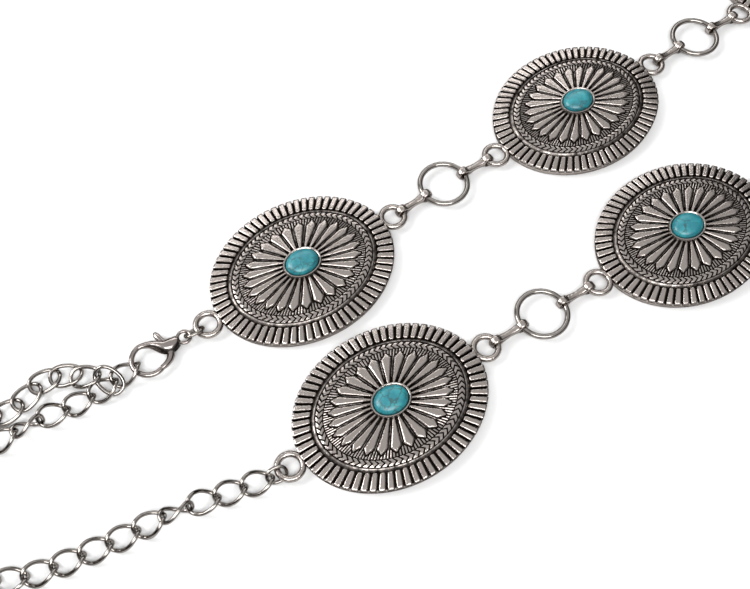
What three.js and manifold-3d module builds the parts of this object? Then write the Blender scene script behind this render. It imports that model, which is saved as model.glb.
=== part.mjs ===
// Concho belt: cast oval plates with turquoise cabochons, joined by double-eye links and wire rings,
// closed by a lobster clasp on a length of curb chain. It lies fastened on a flat surface.
// Millimetres, +Z up, X along the two visible strands, origin at the bottom centre of the whole belt.
import * as THREE from 'three';
import { mergeVertices } from 'three/addons/utils/BufferGeometryUtils.js';
import Module from 'manifold-3d';

const wasm = await Module();
wasm.setup();

const TURN = 2 * Math.PI;
const degrees = (angle) => THREE.MathUtils.degToRad(angle);

// Height at which loops, rings and connectors lie, set by the connector's eye resting on the surface
const LINK_LEVEL = 2.2;

// Concho, the cast plate: half-sizes across X and Y with the height there
const RIBS = 66;
const PETALS = 26;
const LAND = { x: 29.3, y: 23.2, z: 0 };
const RIB_CREST = { x: 30, y: 23.9, z: 3.5 };
const RIB_VALLEY = { x: 29.2, y: 23.1, z: 2.6 };
const RIB_INNER = { x: 24.5, y: 18.9, z: 4.3 };
const RIDGE = { x: 23.8, y: 18.2, z: 4.9 };
const PETAL_TIP = { x: 18.8, y: 14.3, z: 5.6 };
const PETAL_GAP = { x: 17.9, y: 13.4, z: 4.7 };
const BEZEL_FOOT = { x: 6.3, y: 5.1, z: 5.7 };
const BEZEL_LIP = { x: 6.05, y: 4.85, z: 6.9 };
const BEZEL_INNER = { x: 5.65, y: 4.45, z: 6.9 };
const BEZEL_SEAT = { x: 5.65, y: 4.45, z: 5.8 };
const HOLLOW_EDGE = { x: 26.6, y: 20.6, z: 0 };
const HOLLOW_WALL = { x: 25.2, y: 19.2, z: 2.1 };
const HOLLOW_DOME = { x: 13, y: 10, z: 3.6 };
const HOLLOW_TOP = 4.1;

// End loop of a concho
const LOOP_OFFSET = 33.7;
const LOOP_RADIUS = 3.7;
const LOOP_WIRE = 0.95;

// Cabochon in the bezel, with its play all round
const STONE_GIRDLE = { x: 5.35, y: 4.15, z: 7.0 };
const STONE_BASE = { x: 5.35, y: 4.15, z: 6.1 };
const STONE_SHOULDER = { x: 3.9, y: 3.0, z: 8.2 };
const STONE_TOP = 8.6;
const STONE_SIDES = 14;

// Wire ring
const RING_RADIUS = 7.65;
const RING_WIRE = 0.85;

// Double-eye connector
const EYE_SPACING = 9.7;
const EYE_RADIUS = 2.1;
const EYE_HOLE = 1.42;
const EYE_WIDTH = 2.5;
const WAIST_WIDTH = 1.75;
const WAIST_HEIGHT = 1.8;
const TIP_NARROWING = 0.8;

// Curb link, twisted about its long axis
const LINK_SIDES = 10;
const WIRE_SIDES = 5;
const LINK = { length: 8.85, width: 6.35, wire: 0.6, roundness: 2.3, twist: 52 };
const LINK_PITCH = 7.9;

// Small oval jump link
const JUMP_LINK = { length: 5.8, width: 4.6, wire: 0.5, roundness: 2.3, twist: 0 };
const JUMP_LINK_LEVEL = 2.25;

// Lobster clasp, measured from its eye with the hook towards -X
const CLASP_LEVEL = 2.1;
const CLASP_EYE_RADIUS = 1.95;
const CLASP_EYE_WIRE = 0.5;
const HOOK_CENTRE = { x: -12.1, y: -0.7 };
const HOOK_OUTER = 5.85;
const HOOK_INNER = 4.35;
const HOOK_START = 78;
const HOOK_END = 290;
const HOOK_LIFT = 0.15;
const HOOK_THICKNESS = 1.05;
const BODY_THICKNESS = 3.6;
const BODY_BEVEL = 0.7;
const SLOT = { left: -9, right: -3.6, height: 1.6 };
const PIVOT = { x: -5.2, y: -0.3 };
const PIN_RADIUS = 0.65;
const PIN_HOLE = 0.95;
const LEVER_THICKNESS = 1.1;
const LEVER_ARM_THICKNESS = 2.0;

// Where the pieces lie: conchos round the loop with the heading of their long axis
const CONCHO_PLACES = [
  { x: 2.4, y: 3.6, heading: 1.0 },
  { x: 111.3, y: 6.2, heading: 1.1 },
  { x: 218.8, y: 17.4, heading: 17 },
  { x: 285, y: -22.5, heading: -90 },
  { x: 216.7, y: -62.4, heading: -17 },
  { x: 109.3, y: -50.8, heading: -1.6 },
  { x: 0.2, y: -48.6, heading: -0.4 },
];
const RING_PLACES = [
  { x: 56.8, y: 5.7 },
  { x: 165.8, y: 8.0 },
  { x: 271.8, y: 27.4 },
  { x: 269.7, y: -70.2 },
  { x: 163.7, y: -53.0 },
  { x: 54.75, y: -49.0 },
];
const JUMP_LINK_PLACES = {
  clasp_link: { x: -36.0, y: 3.0, heading: -2, roll: -48 },
  chain_link: { x: -37.8, y: -48.4, heading: -8, roll: 48 },
};
const CLASP_PLACE = { x: -39.3, y: 3.3 };

// Route of the main chain, through the middles of its crossings, from the jump link round to the clasp
const CHAIN_ROUTE = [
  [-39.7, -48.0, 2.0], [-47.8, -45.8, 2.0], [-56.0, -43.9, 2.0], [-63.8, -42.3, 3.6], [-71.6, -41.3, 3.6],
  [-79.3, -40.4, 2.0], [-87.1, -39.4, 2.0], [-94.9, -38.2, 2.0], [-102.7, -36.9, 2.0], [-110.4, -34.9, 2.0],
  [-117.0, -31.6, 2.0], [-122.3, -26.0, 2.0], [-124.9, -18.8, 2.0], [-124.4, -11.0, 2.0], [-120.8, -4.0, 2.0],
  [-114.6, 0.9, 2.0], [-107.0, 2.9, 2.0], [-94.2, 3.2, 3.5],
  [-86.4, 3.1, 3.5], [-78.8, 2.3, 2.0], [-71.0, 1.5, 2.0], [-63.1, 2.0, 2.2], [-55.2, 2.8, 2.35],
];
// Links that lie turned, by their number along the route, with the extra roll: two stand on edge
const TURNED_LINKS = { 3: -50, 18: 50, 22: 6 };

// Free tail: centres of its links, heading of the long axis, its rise towards the head end, and roll
const TAIL_LINKS = [
  { x: -64.2, y: 2.4, z: 3.2, heading: 110, rise: 24, roll: -24, twist: 10 },
  { x: -69.6, y: 7.6, z: 2.4, heading: 142, rise: -14, roll: 0, twist: 18 },
  { x: -74.1, y: 11.5, z: 1.4, heading: 157, rise: 0, roll: 0, twist: 18 },
  { x: -80.0, y: 13.3, z: 1.3, heading: 178, rise: 0, roll: 0, twist: 18 },
  { x: -86.4, y: 11.6, z: 1.3, heading: 198, rise: 0, roll: 0, twist: 18 },
  { x: -93.0, y: 10.3, z: 1.3, heading: 182, rise: 0, roll: 0, twist: 18 },
  { x: -99.5, y: 11.9, z: 1.3, heading: 160, rise: 0, roll: 0, twist: 18 },
];

const silver = new THREE.MeshStandardMaterial({ color: 0x9a958d, metalness: 1, roughness: 0.38 });
const steel = new THREE.MeshStandardMaterial({ color: 0xa9a6a2, metalness: 1, roughness: 0.28 });
const turquoise = new THREE.MeshStandardMaterial({ color: 0x4a9ca6, metalness: 0, roughness: 0.35 });

// Closed meshes

function toSolid(geometry) {
  const bare = geometry.index ? geometry.clone() : geometry;
  bare.deleteAttribute('normal');
  bare.deleteAttribute('uv');
  const merged = mergeVertices(bare);
  return new wasm.Manifold(new wasm.Mesh({
    numProp: 3,
    vertProperties: new Float32Array(merged.attributes.position.array),
    triVerts: new Uint32Array(merged.index.array),
  }));
}

function toGeometry(solid) {
  const { numProp, vertProperties, triVerts } = solid.getMesh();
  const positions = [];
  for (let i = 0; i < vertProperties.length; i += numProp) {
    positions.push(vertProperties[i], vertProperties[i + 1], vertProperties[i + 2]);
  }
  return indexedGeometry(positions, Array.from(triVerts));
}

function indexedGeometry(positions, triangles) {
  const geometry = new THREE.BufferGeometry();
  geometry.setAttribute('position', new THREE.Float32BufferAttribute(positions, 3));
  geometry.setIndex(triangles);
  return geometry;
}

// A closed skin over oval sections, from a point below to a point above. Neighbouring sections may
// have different numbers of points: the band between them is filled in order of angle.
function skinSections(sections, bottomHeight, topHeight) {
  const positions = [0, 0, bottomHeight];
  const triangles = [];
  const rings = sections.map((section) => section.map((point) => {
    positions.push(point.x, point.y, point.z);
    return { index: positions.length / 3 - 1, angle: point.angle };
  }));
  const top = positions.push(0, 0, topHeight) / 3 - 1;
  const following = (ring, i) => ring[(i + 1) % ring.length].index;

  rings[0].forEach((point, i, ring) => triangles.push(0, following(ring, i), point.index));
  for (let level = 1; level < rings.length; level += 1) {
    const lower = rings[level - 1];
    const upper = rings[level];
    const angleAt = (ring, i) => ring[i % ring.length].angle + TURN * Math.floor(i / ring.length);
    let i = 0;
    let j = 0;
    while (i < lower.length || j < upper.length) {
      const stepLower = j >= upper.length
        || (i < lower.length && angleAt(lower, i + 1) <= angleAt(upper, j + 1));
      const a = lower[i % lower.length].index;
      const b = upper[j % upper.length].index;
      if (stepLower) {
        triangles.push(a, following(lower, i % lower.length), b);
        i += 1;
      } else {
        triangles.push(a, following(upper, j % upper.length), b);
        j += 1;
      }
    }
  }
  rings.at(-1).forEach((point, i, ring) => triangles.push(point.index, following(ring, i), top));
  return indexedGeometry(positions, triangles);
}

const ovalPoint = (oval, angle) => ({
  x: oval.x * Math.cos(angle), y: oval.y * Math.sin(angle), z: oval.z, angle,
});

// Points at equal angles, taking turns between the ovals given
function section(count, ...ovals) {
  const points = [];
  for (let i = 0; i < count; i += 1) points.push(ovalPoint(ovals[i % ovals.length], (TURN * i) / count));
  return points;
}

// Points at equal steps along the oval's edge, taking turns between the ovals given
function evenSection(count, ...ovals) {
  const samples = 2000;
  const lengths = [0];
  for (let i = 1; i <= samples; i += 1) {
    const middle = (TURN * (i - 0.5)) / samples;
    const speed = Math.hypot(ovals[0].x * Math.sin(middle), ovals[0].y * Math.cos(middle));
    lengths.push(lengths[i - 1] + speed);
  }
  const points = [];
  let at = 0;
  for (let i = 0; i < count; i += 1) {
    while (lengths[at + 1] <= (lengths[samples] * i) / count) at += 1;
    points.push(ovalPoint(ovals[i % ovals.length], (TURN * at) / samples));
  }
  return points;
}

// A closed wire: the centreline is a closed curve round the origin, and the wire has a corner inwards
function closedWire(centreline, radius, steps, sides) {
  const positions = [];
  const triangles = [];
  for (let i = 0; i < steps; i += 1) {
    const here = centreline(i / steps);
    const ahead = centreline((i + 0.01) / steps);
    const behind = centreline((i - 0.01) / steps);
    const along = ahead.clone().sub(behind).normalize();
    const inward = here.clone().negate();
    inward.addScaledVector(along, -inward.dot(along)).normalize();
    const across = along.clone().cross(inward);
    for (let k = 0; k < sides; k += 1) {
      const turn = (TURN * k) / sides;
      const point = here.clone()
        .addScaledVector(inward, radius * Math.cos(turn))
        .addScaledVector(across, radius * Math.sin(turn));
      positions.push(point.x, point.y, point.z);
      const next = (k + 1) % sides;
      const a = i * sides + k;
      const b = i * sides + next;
      const c = ((i + 1) % steps) * sides + k;
      const d = ((i + 1) % steps) * sides + next;
      triangles.push(a, b, d, a, d, c);
    }
  }
  return indexedGeometry(positions, triangles);
}

// An oval link in XY with its long axis on X, twisted about that axis from end to end
function linkGeometry(link) {
  const bulge = (value) => Math.sign(value) * Math.abs(value) ** (2 / link.roundness);
  const centreline = (t) => {
    const along = bulge(Math.cos(TURN * t));
    const half = (link.width / 2) * bulge(Math.sin(TURN * t));
    const twist = degrees(-link.twist) * along;
    return new THREE.Vector3((link.length / 2) * along, half * Math.cos(twist), half * Math.sin(twist));
  };
  return closedWire(centreline, link.wire, LINK_SIDES, WIRE_SIDES);
}

// Places a link with its long axis along a direction, turned by a roll about it
function placeLink(geometry, centre, direction, roll) {
  const along = direction.clone().normalize();
  const across = new THREE.Vector3(0, 0, 1).cross(along).normalize();
  const up = along.clone().cross(across);
  const matrix = new THREE.Matrix4().makeBasis(along, across, up).setPosition(centre);
  matrix.multiply(new THREE.Matrix4().makeRotationX(degrees(roll)));
  return geometry.clone().applyMatrix4(matrix);
}

function uniteAll(geometries) {
  return geometries.map(toSolid).reduce((whole, solid) => whole.add(solid));
}

// Pieces

function conchoGeometry() {
  const plate = toSolid(skinSections([
    section(8, HOLLOW_DOME),
    section(16, HOLLOW_WALL),
    section(16, HOLLOW_EDGE),
    evenSection(RIBS / 3, LAND),
    evenSection(2 * RIBS, RIB_CREST, RIB_VALLEY),
    evenSection(RIBS, RIB_INNER),
    section(PETALS, RIDGE),
    section(2 * PETALS, PETAL_TIP, PETAL_GAP),
    section(14, BEZEL_FOOT),
    section(14, BEZEL_LIP),
    section(14, BEZEL_INNER),
    section(14, BEZEL_SEAT),
  ], HOLLOW_TOP, BEZEL_SEAT.z));
  const loops = [-LOOP_OFFSET, LOOP_OFFSET].map((offset) => toSolid(
    new THREE.TorusGeometry(LOOP_RADIUS, LOOP_WIRE, WIRE_SIDES, 10).translate(offset, 0, LINK_LEVEL),
  ));
  return toGeometry(plate.add(loops[0]).add(loops[1]));
}

function stoneGeometry() {
  return skinSections([
    section(STONE_SIDES, STONE_BASE),
    section(STONE_SIDES, STONE_GIRDLE),
    section(STONE_SIDES, STONE_SHOULDER),
  ], STONE_BASE.z, STONE_TOP);
}

function ringGeometry() {
  return new THREE.TorusGeometry(RING_RADIUS, RING_WIRE, WIRE_SIDES, 16);
}

// Two eyes on a waisted bar, drawn from the side and given its width across
function connectorGeometry() {
  const reach = EYE_SPACING / 2;
  const opening = degrees(48);
  const outline = new THREE.Shape();
  outline.absarc(-reach, 0, EYE_RADIUS, opening, TURN - opening, false);
  outline.lineTo(0, -WAIST_HEIGHT / 2);
  outline.absarc(reach, 0, EYE_RADIUS, opening - Math.PI, Math.PI - opening, false);
  outline.lineTo(0, WAIST_HEIGHT / 2);
  for (const side of [-1, 1]) {
    const hole = new THREE.Path();
    hole.absarc(side * reach, 0, EYE_HOLE, 0, TURN, true);
    outline.holes.push(hole);
  }
  const geometry = new THREE.ExtrudeGeometry(outline, { depth: 1, curveSegments: 4, bevelEnabled: false });
  geometry.translate(0, 0, -0.5).rotateX(Math.PI / 2);
  const position = geometry.attributes.position;
  for (let i = 0; i < position.count; i += 1) {
    const distance = Math.abs(position.getX(i));
    let width = EYE_WIDTH;
    if (distance < reach - EYE_RADIUS) {
      width = THREE.MathUtils.lerp(WAIST_WIDTH, EYE_WIDTH, distance / (reach - EYE_RADIUS));
    } else if (distance > reach) {
      width = THREE.MathUtils.lerp(EYE_WIDTH, EYE_WIDTH * TIP_NARROWING, (distance - reach) / EYE_RADIUS);
    }
    position.setY(i, position.getY(i) * width);
  }
  return toGeometry(toSolid(geometry));
}

function extrudedOutline(points, thickness, bevel, level) {
  const shape = new THREE.Shape(points.map(([x, y]) => new THREE.Vector2(x, y)));
  return new THREE.ExtrudeGeometry(shape, {
    depth: thickness - 2 * bevel,
    bevelEnabled: bevel > 0,
    bevelThickness: bevel,
    bevelSize: bevel,
    bevelOffset: -bevel,
    bevelSegments: 1,
  }).translate(0, 0, level - thickness / 2 + bevel);
}

function arcPoints(centre, radius, from, to, steps) {
  const points = [];
  for (let i = 0; i <= steps; i += 1) {
    const angle = degrees(THREE.MathUtils.lerp(from, to, i / steps));
    points.push([centre.x + radius * Math.cos(angle), centre.y + radius * Math.sin(angle)]);
  }
  return points;
}

// Hook, eye and two cheeks either side of a slot, with the hinge pin between the cheeks
function claspBodyGeometry() {
  const body = toSolid(extrudedOutline([
    [-1.9, -0.9], [-1.9, 0.9], [-2.9, 1.6], [-4.8, 2.8], [-6.8, 3.8], [-8.8, 4.5], [-12.0, 5.2],
    [-12.0, 3.5], [-9.9, 2.1], [-8.4, -0.3], [-6.1, -3.4], [-4.6, -3.3], [-2.9, -1.8],
  ], BODY_THICKNESS, BODY_BEVEL, CLASP_LEVEL));
  const hook = toSolid(extrudedOutline([
    ...arcPoints(HOOK_CENTRE, HOOK_OUTER, HOOK_START, HOOK_END, 10),
    ...arcPoints(HOOK_CENTRE, HOOK_INNER, HOOK_END, HOOK_START, 8),
  ], HOOK_THICKNESS, HOOK_THICKNESS / 4, CLASP_LEVEL + HOOK_LIFT));
  const eye = toSolid(new THREE.TorusGeometry(CLASP_EYE_RADIUS, CLASP_EYE_WIRE, 6, 12)
    .translate(0, 0, CLASP_LEVEL));
  const slotLength = SLOT.right - SLOT.left;
  const slot = toSolid(new THREE.BoxGeometry(slotLength, 14, SLOT.height)
    .translate(SLOT.left + slotLength / 2, 0, CLASP_LEVEL));
  const pin = toSolid(new THREE.CylinderGeometry(PIN_RADIUS, PIN_RADIUS, SLOT.height + 1, 8)
    .rotateX(Math.PI / 2).translate(PIVOT.x, PIVOT.y, CLASP_LEVEL));
  return toGeometry(body.add(hook).subtract(slot).add(eye).add(pin));
}

// Thumb tab above the pivot, the arm to the hook's tip below it, turned about the origin
function claspLeverGeometry() {
  const plate = toSolid(extrudedOutline([
    [-7.9, 3.9], [-7.7, 5.7], [-7.2, 6.6], [-6.8, 6.5], [-6.5, 5.5], [-6.2, 3.9], [-4.6, 1.2], [-4.0, 0],
    [-4.1, -1.0], [-5.1, -3.8], [-6.2, -4.6], [-8.6, -5.5], [-9.5, -5.6], [-10.2, -4.8], [-8.6, -3.9],
    [-7.1, -2.9], [-6.6, -1.4], [-6.6, 0.6],
  ], LEVER_THICKNESS, 0, CLASP_LEVEL));
  const arm = toSolid(extrudedOutline([
    [-6.9, -5.0], [-8.6, -5.6], [-9.5, -5.65], [-10.25, -4.8], [-8.6, -3.8], [-7.4, -3.2],
  ], LEVER_ARM_THICKNESS, 0, CLASP_LEVEL));
  const hole = toSolid(new THREE.CylinderGeometry(PIN_HOLE, PIN_HOLE, SLOT.height, 8)
    .rotateX(Math.PI / 2).translate(PIVOT.x, PIVOT.y, CLASP_LEVEL));
  return toGeometry(plate.add(arm).subtract(hole).translate([-PIVOT.x, -PIVOT.y, 0]));
}

// Links laid end to end on a smooth route, each from one crossing to the next
function mainChainGeometry() {
  const route = new THREE.CatmullRomCurve3(CHAIN_ROUTE.map((point) => new THREE.Vector3(...point)));
  const count = Math.round(route.getLength() / LINK_PITCH);
  const crossings = route.getSpacedPoints(count);
  const link = linkGeometry(LINK);
  const links = [];
  for (let i = 0; i < count; i += 1) {
    const direction = crossings[i].clone().sub(crossings[i + 1]);
    const centre = crossings[i].clone().add(crossings[i + 1]).multiplyScalar(0.5);
    links.push(placeLink(link, centre, direction, TURNED_LINKS[i] ?? 0));
  }
  return links;
}

function tailGeometries() {
  return TAIL_LINKS.map((place) => {
    const heading = degrees(place.heading);
    const rise = degrees(place.rise);
    const direction = new THREE.Vector3(
      Math.cos(heading) * Math.cos(rise), Math.sin(heading) * Math.cos(rise), Math.sin(rise),
    );
    const link = linkGeometry({ ...LINK, twist: place.twist });
    return placeLink(link, new THREE.Vector3(place.x, place.y, place.z), direction, place.roll);
  });
}

// Assembly

const belt = new THREE.Group();

function addPiece(name, geometry, material, place) {
  const mesh = new THREE.Mesh(geometry, material);
  mesh.name = name;
  mesh.position.set(place.x ?? 0, place.y ?? 0, place.z ?? 0);
  mesh.rotation.z = degrees(place.heading ?? 0);
  belt.add(mesh);
}

const loopCentre = (concho, side) => new THREE.Vector2(
  concho.x + side * LOOP_OFFSET * Math.cos(degrees(concho.heading)),
  concho.y + side * LOOP_OFFSET * Math.sin(degrees(concho.heading)),
);

const concho = conchoGeometry();
const stone = stoneGeometry();
CONCHO_PLACES.forEach((place, i) => {
  addPiece(`concho_${i + 1}`, concho, silver, place);
  addPiece(`stone_${i + 1}`, stone, turquoise, place);
});

// Each ring hangs between the near loops of the conchos before and after it, by two connectors
const ring = ringGeometry();
const connector = connectorGeometry();
RING_PLACES.forEach((place, i) => {
  addPiece(`ring_${i + 1}`, ring, steel, { ...place, z: LINK_LEVEL });
  const ringCentre = new THREE.Vector2(place.x, place.y);
  const neighbours = [CONCHO_PLACES[i], CONCHO_PLACES[i + 1]];
  neighbours.forEach((neighbour, side) => {
    const loops = [loopCentre(neighbour, -1), loopCentre(neighbour, 1)];
    loops.sort((a, b) => a.distanceTo(ringCentre) - b.distanceTo(ringCentre));
    const direction = ringCentre.clone().sub(loops[0]).normalize();
    const start = loops[0].clone().addScaledVector(direction, LOOP_RADIUS);
    const end = ringCentre.clone().addScaledVector(direction, -RING_RADIUS);
    const middle = start.add(end).multiplyScalar(0.5);
    const heading = THREE.MathUtils.radToDeg(direction.angle());
    addPiece(`connector_${2 * i + side + 1}`, connector, silver,
      { x: middle.x, y: middle.y, z: LINK_LEVEL, heading });
  });
});

const jumpLink = linkGeometry(JUMP_LINK);
for (const [name, place] of Object.entries(JUMP_LINK_PLACES)) {
  const rolled = jumpLink.clone().rotateX(degrees(place.roll));
  addPiece(name, rolled, steel, { ...place, z: JUMP_LINK_LEVEL });
}

addPiece('clasp_body', claspBodyGeometry(), steel, CLASP_PLACE);
addPiece('clasp_lever', claspLeverGeometry(), steel,
  { x: CLASP_PLACE.x + PIVOT.x, y: CLASP_PLACE.y + PIVOT.y });

addPiece('chain', toGeometry(uniteAll([...mainChainGeometry(), ...tailGeometries()])), steel, {});

// The belt stands with the bottom centre of its box at the origin
const box = new THREE.Box3().setFromObject(belt, true);
const middle = box.getCenter(new THREE.Vector3());
belt.position.set(-middle.x, -middle.y, -box.min.z);

export default belt;
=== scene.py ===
import math

import bmesh
import bpy
from bpy.props import FloatProperty, FloatVectorProperty, IntProperty, PointerProperty
from mathutils import Matrix, Vector


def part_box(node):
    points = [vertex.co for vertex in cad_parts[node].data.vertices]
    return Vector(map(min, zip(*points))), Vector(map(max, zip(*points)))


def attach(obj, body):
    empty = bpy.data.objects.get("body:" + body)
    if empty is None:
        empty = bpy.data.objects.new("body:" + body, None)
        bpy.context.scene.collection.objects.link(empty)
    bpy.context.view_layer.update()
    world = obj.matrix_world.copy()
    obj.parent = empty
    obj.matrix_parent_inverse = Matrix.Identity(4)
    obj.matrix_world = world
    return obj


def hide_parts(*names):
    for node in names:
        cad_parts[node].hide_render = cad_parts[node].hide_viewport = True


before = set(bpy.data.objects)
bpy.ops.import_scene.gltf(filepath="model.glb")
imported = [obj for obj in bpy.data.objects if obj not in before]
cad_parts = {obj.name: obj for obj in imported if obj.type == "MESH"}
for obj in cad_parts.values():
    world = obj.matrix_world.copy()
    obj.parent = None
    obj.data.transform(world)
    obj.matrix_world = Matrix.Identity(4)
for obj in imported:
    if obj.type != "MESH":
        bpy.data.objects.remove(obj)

bl_info = {
    "name": "Concho Belt",
    "version": (1, 0, 0),
    "blender": (4, 5, 0),
    "location": "3D View > Sidebar > Belt",
    "description": "Dresses the packed concho belt in cast, plated and stone surfaces",
    "category": "Object",
}

MM = 0.001
TURN = 2 * math.pi
UP = Vector((0, 0, 1))
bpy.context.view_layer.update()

# Where the pieces lie. Their centres come from the frame; headings and the chain's route are the belt's own.
# Places are millimetres in the belt's layout, which has the first concho at FIRST_CONCHO. Angles are degrees.
CONCHO_HEADINGS = [1.0, 1.1, 17, -90, -17, -1.6, -0.4]
LINK_LEVEL = 2.2
# How polished the loops and connectors are all over, where 1 is rubbed bright
CAST_LINK_POLISH = 0.85
FIRST_CONCHO = (2.4, 3.6)
CLASP_PLACE = (-39.3, 3.3, 2.1)
CLASP_EYE_RADIUS = 1.95
CLASP_EYE_WIRE = 0.5
HOOK_CENTRE = (-12.1, -0.7)
HOOK_RADIUS = 5.1
# Angles round the hook's centre
HOOK_START = 98
HOOK_END = 286
HOOK_TIP = 292
# Half widths and half heights of the hook's bar and of its tip
HOOK_BAR = (0.8, 0.72)
HOOK_TIP_BAR = (0.75, 0.7)
# The small jump links: place, heading and roll
JUMP_LINKS = {
    "clasp_link": (-36.0, 3.0, -2, -48),
    "chain_link": (-37.8, -48.4, -8, 48),
}
JUMP_LINK_LEVEL = 2.25
JUMP_LINK_LENGTH = 5.8
JUMP_LINK_WIDTH = 4.6
JUMP_LINK_WIRE = 0.5
LINK_PITCH = 7.9
LINK_ROUNDNESS = 2.3
# The chain from the last concho's jump link round to the clasp
CHAIN_ROUTE = [
    (-39.7, -48.3, 2.28), (-47.9, -46.4, 2.28), (-56.2, -44.6, 2.28), (-64.0, -43.0, 3.75),
    (-71.8, -42.0, 3.75), (-79.5, -41.1, 2.28), (-87.3, -40.1, 2.28), (-95.1, -38.9, 2.28),
    (-102.8, -37.6, 2.28), (-110.4, -35.5, 2.28), (-117.0, -31.9, 2.28), (-122.2, -26.0, 2.28),
    (-124.5, -18.8, 2.28), (-124.0, -11.0, 2.28), (-120.8, -4.0, 2.28), (-114.6, 0.6, 2.28),
    (-107.0, 2.4, 2.28), (-94.4, 2.5, 3.65), (-86.6, 2.3, 3.65), (-79.0, 1.5, 2.28),
    (-71.2, 0.9, 2.28), (-63.2, 1.7, 2.2), (-55.2, 2.8, 2.35),
]
# Links that lie rolled about their length, by their number along the route from 0
TURNED_LINKS = {3: -60, 18: 58, 22: 6}
# The free tail: place, heading, rise towards the head end, roll and twist
TAIL_LINKS = [
    (-64.2, 2.4, 3.2, 110, 24, -24, 10),
    (-69.6, 7.6, 2.4, 142, -14, 0, 18),
    (-74.1, 11.5, 1.6, 157, 0, 0, 18),
    (-80.0, 13.3, 1.55, 178, 0, 0, 18),
    (-86.4, 11.6, 1.55, 198, 0, 0, 18),
    (-93.0, 10.3, 1.55, 182, 0, 0, 18),
    (-99.5, 11.9, 1.55, 160, 0, 0, 18),
]

# Ovals of the cast plate, in millimetres: half length, half width and height
RIB_START = (24.45, 18.85, 3.3)
RIB_END = (30.0, 23.88, 2.6)
CHEVRON_START = (20.95, 15.65, 4.35)
CHEVRON_END = (22.9, 17.6, 4.12)
PETAL_START = (6.3, 5.1, 5.3)
PETAL_END = (19.45, 14.4, 4.5)
HATCH_START = (14.0, 10.6, 4.85)
HATCH_END = (20.6, 15.35, 4.4)
# The plate's skin from the underside outwards and back over the top: an oval and how polished it is
PLATE_SKIN = [
    (13.0, 10.0, 3.6, 0), (25.2, 19.2, 2.1, 0), (26.6, 20.6, 0, 0.4), (29.2, 23.2, 0, 0.6),
    (29.6, 23.6, 0.3, 0.6), (29.75, 23.75, 1.2, 0.6), (29.75, 23.75, 2.2, 0.6), (29.6, 23.6, 2.55, 0.5),
    (29.2, 23.2, 2.62, 0), (24.45, 18.85, 3.3, 0.1), (24.38, 18.78, 3.5, 0.3), (24.2, 18.6, 3.78, 0.4),
    (24.0, 18.42, 4.02, 0.42), (23.75, 18.2, 4.22, 0.45), (23.5, 18.02, 4.35, 0.46),
    (23.25, 17.85, 4.35, 0.4), (23.12, 17.76, 4.22, 0.15), (23.0, 17.68, 4.1, 0), (20.8, 15.5, 4.35, 0),
    (20.6, 15.35, 4.38, 0), (18.8, 14.3, 4.55, 0), (12.5, 9.7, 4.95, 0), (6.5, 5.3, 5.28, 0),
    (6.35, 5.15, 5.4, 0.1), (6.3, 5.1, 6.3, 0.6), (6.2, 5.02, 6.75, 1), (6.05, 4.87, 6.92, 1),
    (5.78, 4.62, 6.95, 1), (5.5, 4.36, 6.78, 0.8), (5.4, 4.26, 5.95, 0.1),
]
PLATE_HOLLOW_TOP = (0.5, 0.4, 4.1)
PLATE_SEAT = (0.5, 0.4, 5.9)
PLATE_SEGMENTS = 168
CABOCHON_SKIN = [
    (5.05, 3.98, 6.1), (5.26, 4.2, 6.5), (5.22, 4.17, 6.9), (5.04, 4.02, 7.35), (4.66, 3.71, 7.75),
    (4.07, 3.22, 8.1), (3.17, 2.51, 8.36), (2.05, 1.62, 8.52), (0.95, 0.75, 8.59),
]
CABOCHON_TOP = (0.2, 0.16, 8.6)
CABOCHON_SEGMENTS = 72


def linear(hex_colour):
    """An sRGB hex value as a linear colour."""
    parts = [int(hex_colour[i:i + 2], 16) / 255 for i in (0, 2, 4)]
    return [p / 12.92 if p <= 0.04045 else ((p + 0.055) / 1.055) ** 2.4 for p in parts]


def length(name, description, millimetres):
    """A size that shows in the sidebar in scene units."""
    return FloatProperty(name=name, description=description, default=millimetres * MM, unit="LENGTH", min=0)


def colour(name, description, hex_colour):
    """A colour that shows in the sidebar as a swatch."""
    return FloatVectorProperty(
        name=name, description=description, default=linear(hex_colour), subtype="COLOR", size=3, min=0, max=1
    )


class BeltSizes(bpy.types.PropertyGroup):
    ribs: IntProperty(name="Ribs", description="Ribs round a concho's rim", default=66, min=12)
    chevrons: IntProperty(name="Chevrons", description="Chevrons round a concho's band", default=70, min=12)
    petals: IntProperty(name="Petals", description="Petals round a concho's stone", default=26, min=6)
    hatches: IntProperty(
        name="Hatch lines", description="Fine lines round behind the petals", default=132, min=0
    )
    rib_height: length("Rib height", "Height of a rib's crest over the groove", 1.0)
    chevron_height: length("Chevron height", "Height of a chevron over its band", 0.4)
    petal_height: length("Petal height", "Height of a petal over the field behind it", 0.95)
    hatch_height: length("Hatch height", "Height of a fine line behind the petals", 0.32)
    loop_radius: length("Loop radius", "Centreline radius of a concho's end loop", 3.7)
    loop_wire: length("Loop wire", "Radius of a concho's end loop wire", 0.95)
    loop_offset: length("Loop offset", "Distance of an end loop from the concho's middle", 33.7)
    ring_radius: length("Ring radius", "Centreline radius of a wire ring", 7.65)
    ring_wire: length("Ring wire", "Radius of a wire ring's wire", 0.85)
    ring_seam: FloatProperty(
        name="Ring seam", description="Angle left open where a ring's ends meet", default=math.radians(0.9),
        subtype="ANGLE",
    )
    link_length: length("Link length", "Centreline length of a chain link", 9.2)
    link_width: length("Link width", "Centreline width of a chain link", 6.4)
    link_wire: length("Link wire", "Radius of the chain's wire", 0.58)
    link_twist: FloatProperty(
        name="Link twist", description="Twist of a curb link from its middle to its end",
        default=math.radians(52), subtype="ANGLE",
    )


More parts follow.
